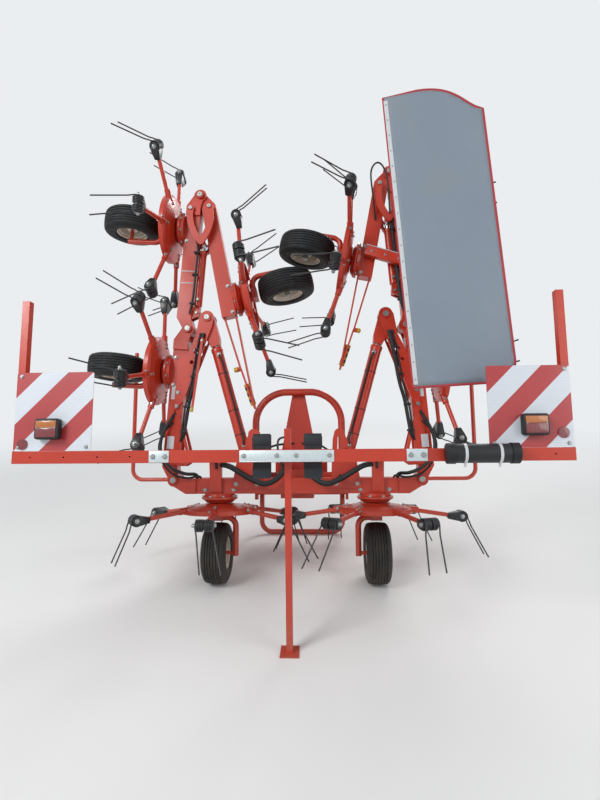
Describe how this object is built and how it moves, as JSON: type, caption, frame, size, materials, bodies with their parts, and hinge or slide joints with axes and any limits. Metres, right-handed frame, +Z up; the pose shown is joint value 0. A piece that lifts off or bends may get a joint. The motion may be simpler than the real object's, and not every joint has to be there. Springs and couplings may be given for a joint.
{
  "type": "folded hay tedder",
  "caption": "Tractor-carried hay tedder with rotors on a hinged beam, folded upright for transport and parked on its stands, with rear bar, warning panels and crop shield.",
  "frame": {"origin": "on the ground under the middle of the whole machine's box", "axes": "+X to the machine's right, +Y in the direction of travel, +Z up"},
  "size_m": [3.005, 2.1963, 3.171],
  "materials": {
    "paint_red": "glossy",
    "tyre": "matt",
    "rim_cream": "satin",
    "tine_black": "satin",
    "panel_white": "satin",
    "plastic_black": "satin",
    "canvas_grey": "matt",
    "rod_chrome": "polished",
    "galvanised": "satin",
    "hose_black": "satin",
    "lens_amber": "glossy",
    "lens_red": "glossy",
    "marker_yellow": "satin"
  },
  "bodies": {
    "frame": {"centre_beam": "paint_red", "gearbox": "paint_red", "headstock": "paint_red", "rear_bar": "paint_red", "warning_panels": "panel_white", "side_guards": "paint_red", "document_tube": "plastic_black"},
    "front_stand": {"front_stand": "paint_red"},
    "rear_stand": {"rear_stand": "paint_red"},
    "inner_left": {"wing_inner_left": "paint_red"},
    "middle_left": {"wing_middle_left": "paint_red"},
    "tip_left": {"wing_tip_left": "paint_red"},
    "lift_barrel_left": {"lift_barrel_left": "paint_red"},
    "lift_rod_left": {"lift_rod_left": "paint_red"},
    "knee_inner_left": {"knee_inner_left": "paint_red"},
    "knee_outer_left": {"knee_outer_left": "paint_red"},
    "tip_barrel_left": {"tip_barrel_left": "paint_red"},
    "tip_rod_left": {"tip_rod_left": "rod_chrome"},
    "centre_left_rotor": {"rotor_centre_left": "paint_red", "tines_centre_left": "tine_black"},
    "centre_left_wheel": {"tyre_centre_left": "tyre", "rim_centre_left": "rim_cream"},
    "inner_left_rotor": {"rotor_inner_left": "paint_red", "tines_inner_left": "tine_black"},
    "inner_left_wheel": {"tyre_inner_left": "tyre", "rim_inner_left": "rim_cream"},
    "middle_left_rotor": {"rotor_middle_left": "paint_red", "tines_middle_left": "tine_black"},
    "middle_left_wheel": {"tyre_middle_left": "tyre", "rim_middle_left": "rim_cream"},
    "tip_left_rotor": {"rotor_tip_left": "paint_red", "tines_tip_left": "tine_black"},
    "tip_left_wheel": {"tyre_tip_left": "tyre", "rim_tip_left": "rim_cream"},
    "inner_right": {"wing_inner_right": "paint_red"},
    "middle_right": {"wing_middle_right": "paint_red", "shield_cloth": "canvas_grey"},
    "tip_right": {"wing_tip_right": "paint_red"},
    "lift_barrel_right": {"lift_barrel_right": "paint_red"},
    "lift_rod_right": {"lift_rod_right": "paint_red"},
    "knee_inner_right": {"knee_inner_right": "paint_red"},
    "knee_outer_right": {"knee_outer_right": "paint_red"},
    "tip_barrel_right": {"tip_barrel_right": "paint_red"},
    "tip_rod_right": {"tip_rod_right": "rod_chrome"},
    "centre_right_rotor": {"rotor_centre_right": "paint_red", "tines_centre_right": "tine_black"},
    "centre_right_wheel": {"tyre_centre_right": "tyre", "rim_centre_right": "rim_cream"},
    "inner_right_rotor": {"rotor_inner_right": "paint_red", "tines_inner_right": "tine_black"},
    "inner_right_wheel": {"tyre_inner_right": "tyre", "rim_inner_right": "rim_cream"},
    "middle_right_rotor": {"rotor_middle_right": "paint_red", "tines_middle_right": "tine_black"},
    "middle_right_wheel": {"tyre_middle_right": "tyre", "rim_middle_right": "rim_cream"},
    "tip_right_rotor": {"rotor_tip_right": "paint_red", "tines_tip_right": "tine_black"},
    "tip_right_wheel": {"tyre_tip_right": "tyre", "rim_tip_right": "rim_cream"}
  },
  "joints": [
    {"name": "front_stand_slide", "type": "slide", "parent": "frame", "child": "front_stand", "axis": [0, 0.2419, 0.9703], "range_m": [0, 0.24]},
    {"name": "rear_stand_slide", "type": "slide", "parent": "frame", "child": "rear_stand", "axis": [0, 0.1416, 0.9899], "range_m": [0, 0.4]},
    {"name": "wing_fold_left", "type": "hinge", "parent": "frame", "child": "inner_left", "pos_m": [-0.86, -0.08307, 0.6695], "axis": [0, -0.9703, 0.2419], "range_deg": [0, 94]},
    {"name": "float_left", "type": "hinge", "parent": "inner_left", "child": "middle_left", "pos_m": [-0.78397, 0.17998, 1.72455], "axis": [0, -0.9703, 0.2419], "range_deg": [0, 6]},
    {"name": "tip_fold_left", "type": "hinge", "parent": "middle_left", "child": "tip_left", "pos_m": [-0.71212, 0.42855, 2.72152], "axis": [0, -0.9703, 0.2419], "range_deg": [0, 165]},
    {"name": "lift_swing_left", "type": "hinge", "parent": "frame", "child": "lift_barrel_left", "pos_m": [-0.36, -0.04437, 0.82475], "axis": [0, -0.9703, 0.2419], "range_deg": [0, 75.15]},
    {"name": "lift_slide_left", "type": "slide", "parent": "lift_barrel_left", "child": "lift_rod_left", "axis": [-0.2729, 0.2327, 0.9335], "range_m": [0, 0.63238]},
    {"name": "knee_inner_left_turn", "type": "hinge", "parent": "middle_left", "child": "knee_inner_left", "pos_m": [-0.77971, 0.40278, 2.61814], "axis": [0, -0.9703, 0.2419], "range_deg": [0, 93.28]},
    {"name": "knee_outer_left_turn", "type": "hinge", "parent": "tip_left", "child": "knee_outer_left", "pos_m": [-0.63544, 0.40252, 2.61711], "axis": [0, -0.9703, 0.2419], "range_deg": [-90.9, 0]},
    {"name": "tip_swing_left", "type": "hinge", "parent": "middle_left", "child": "tip_barrel_left", "pos_m": [-0.731, 0.21061, 1.8474], "axis": [0, -0.9703, 0.2419], "range_deg": [-9.18, 0]},
    {"name": "tip_slide_left", "type": "slide", "parent": "tip_barrel_left", "child": "tip_rod_left", "axis": [0.0735, 0.2413, 0.9677], "range_m": [0, 0.3941]},
    {"name": "centre_left_spin", "type": "hinge", "parent": "frame", "child": "centre_left_rotor", "pos_m": [-0.545, -0.14355, 0.42693], "axis": [0, 0.2419, 0.9703], "continuous": true},
    {"name": "centre_left_wheel_spin", "type": "hinge", "parent": "frame", "child": "centre_left_wheel", "pos_m": [-0.545, -0.24989, 0.203], "axis": [1, 0, 0], "continuous": true},
    {"name": "inner_left_spin", "type": "hinge", "parent": "inner_left", "child": "inner_left_rotor", "pos_m": [-1.05533, 0.10818, 1.43657], "axis": [0.9976, -0.0169, -0.0677], "continuous": true},
    {"name": "inner_left_wheel_spin", "type": "hinge", "parent": "inner_left", "child": "inner_left_wheel", "pos_m": [-1.29774, 0.06473, 1.46487], "axis": [0.0698, 0.2413, 0.9679], "continuous": true},
    {"name": "middle_left_spin", "type": "hinge", "parent": "middle_left", "child": "middle_left_rotor", "pos_m": [-0.9793, 0.37123, 2.49162], "axis": [0.9976, -0.0169, -0.0677], "continuous": true},
    {"name": "middle_left_wheel_spin", "type": "hinge", "parent": "middle_left", "child": "middle_left_wheel", "pos_m": [-1.22171, 0.32779, 2.51992], "axis": [0.0698, 0.2413, 0.9679], "continuous": true},
    {"name": "tip_left_spin", "type": "hinge", "parent": "tip_left", "child": "tip_left_rotor", "pos_m": [-0.30738, 0.2418, 1.97249], "axis": [-0.9816, -0.0462, -0.1851], "continuous": true},
    {"name": "tip_left_wheel_spin", "type": "hinge", "parent": "tip_left", "child": "tip_left_wheel", "pos_m": [-0.06885, 0.20547, 2.02934], "axis": [0.1908, -0.2375, -0.9525], "continuous": true},
    {"name": "wing_fold_right", "type": "hinge", "parent": "frame", "child": "inner_right", "pos_m": [0.86, -0.08307, 0.6695], "axis": [0, 0.9703, -0.2419], "range_deg": [0, 94]},
    {"name": "float_right", "type": "hinge", "parent": "inner_right", "child": "middle_right", "pos_m": [0.78397, 0.17998, 1.72455], "axis": [0, 0.9703, -0.2419], "range_deg": [0, 6]},
    {"name": "tip_fold_right", "type": "hinge", "parent": "middle_right", "child": "tip_right", "pos_m": [0.70235, 0.46234, 2.85703], "axis": [0, 0.9703, -0.2419], "range_deg": [0, 165]},
    {"name": "lift_swing_right", "type": "hinge", "parent": "frame", "child": "lift_barrel_right", "pos_m": [0.36, -0.04437, 0.82475], "axis": [0, 0.9703, -0.2419], "range_deg": [0, 75.15]},
    {"name": "lift_slide_right", "type": "slide", "parent": "lift_barrel_right", "child": "lift_rod_right", "axis": [0.2729, 0.2327, 0.9335], "range_m": [0, 0.63238]},
    {"name": "knee_inner_right_turn", "type": "hinge", "parent": "middle_right", "child": "knee_inner_right", "pos_m": [0.76995, 0.43656, 2.75365], "axis": [0, 0.9703, -0.2419], "range_deg": [0, 93.28]},
    {"name": "knee_outer_right_turn", "type": "hinge", "parent": "tip_right", "child": "knee_outer_right", "pos_m": [0.62567, 0.4363, 2.75262], "axis": [0, 0.9703, -0.2419], "range_deg": [-90.9, 0]},
    {"name": "tip_swing_right", "type": "hinge", "parent": "middle_right", "child": "tip_barrel_right", "pos_m": [0.72124, 0.2444, 1.98291], "axis": [0, 0.9703, -0.2419], "range_deg": [-9.18, 0]},
    {"name": "tip_slide_right", "type": "slide", "parent": "tip_barrel_right", "child": "tip_rod_right", "axis": [-0.0735, 0.2413, 0.9677], "range_m": [0, 0.3941]},
    {"name": "centre_right_spin", "type": "hinge", "parent": "frame", "child": "centre_right_rotor", "pos_m": [0.545, -0.14355, 0.42693], "axis": [0, 0.2419, 0.9703], "continuous": true},
    {"name": "centre_right_wheel_spin", "type": "hinge", "parent": "frame", "child": "centre_right_wheel", "pos_m": [0.545, -0.24989, 0.203], "axis": [1, 0, 0], "continuous": true},
    {"name": "inner_right_spin", "type": "hinge", "parent": "inner_right", "child": "inner_right_rotor", "pos_m": [1.05533, 0.10818, 1.43657], "axis": [-0.9976, -0.0169, -0.0677], "continuous": true},
    {"name": "inner_right_wheel_spin", "type": "hinge", "parent": "inner_right", "child": "inner_right_wheel", "pos_m": [1.29774, 0.06473, 1.46487], "axis": [-0.0698, 0.2413, 0.9679], "continuous": true},
    {"name": "middle_right_spin", "type": "hinge", "parent": "middle_right", "child": "middle_right_rotor", "pos_m": [0.9793, 0.37123, 2.49162], "axis": [-0.9976, -0.0169, -0.0677], "continuous": true},
    {"name": "middle_right_wheel_spin", "type": "hinge", "parent": "middle_right", "child": "middle_right_wheel", "pos_m": [1.22171, 0.32779, 2.51992], "axis": [-0.0698, 0.2413, 0.9679], "continuous": true},
    {"name": "tip_right_spin", "type": "hinge", "parent": "tip_right", "child": "tip_right_rotor", "pos_m": [0.32433, 0.30883, 2.24135], "axis": [0.9816, -0.0462, -0.1851], "continuous": true},
    {"name": "tip_right_wheel_spin", "type": "hinge", "parent": "tip_right", "child": "tip_right_wheel", "pos_m": [0.08579, 0.2725, 2.29819], "axis": [-0.1908, -0.2375, -0.9525], "continuous": true}
  ],
  "couplings": [
    {"joint": "wing_fold_left", "follows": "wing_fold_right", "ratio": 1},
    {"joint": "tip_fold_left", "follows": "wing_fold_right", "ratio": 1.7553},
    {"joint": "lift_swing_left", "follows": "wing_fold_right", "ratio": 0.79946},
    {"joint": "knee_inner_left_turn", "follows": "wing_fold_right", "ratio": 0.99229},
    {"joint": "knee_outer_left_turn", "follows": "wing_fold_right", "ratio": -0.96705},
    {"joint": "tip_swing_left", "follows": "wing_fold_right", "ratio": -0.097633},
    {"joint": "lift_slide_left", "follows": "wing_fold_right", "m_per_rad": 0.38545},
    {"joint": "tip_slide_left", "follows": "wing_fold_right", "m_per_rad": 0.24022},
    {"joint": "inner_left_spin", "follows": "centre_left_spin", "ratio": -1},
    {"joint": "middle_left_spin", "follows": "centre_left_spin", "ratio": 1},
    {"joint": "tip_left_spin", "follows": "centre_left_spin", "ratio": -1},
    {"joint": "tip_fold_right", "follows": "wing_fold_right", "ratio": 1.7553},
    {"joint": "lift_swing_right", "follows": "wing_fold_right", "ratio": 0.79946},
    {"joint": "knee_inner_right_turn", "follows": "wing_fold_right", "ratio": 0.99229},
    {"joint": "knee_outer_right_turn", "follows": "wing_fold_right", "ratio": -0.96705},
    {"joint": "tip_swing_right", "follows": "wing_fold_right", "ratio": -0.097633},
    {"joint": "lift_slide_right", "follows": "wing_fold_right", "m_per_rad": 0.38545},
    {"joint": "tip_slide_right", "follows": "wing_fold_right", "m_per_rad": 0.24022},
    {"joint": "centre_right_spin", "follows": "centre_left_spin", "ratio": -1},
    {"joint": "inner_right_spin", "follows": "centre_left_spin", "ratio": 1},
    {"joint": "middle_right_spin", "follows": "centre_left_spin", "ratio": -1},
    {"joint": "tip_right_spin", "follows": "centre_left_spin", "ratio": 1}
  ]
}
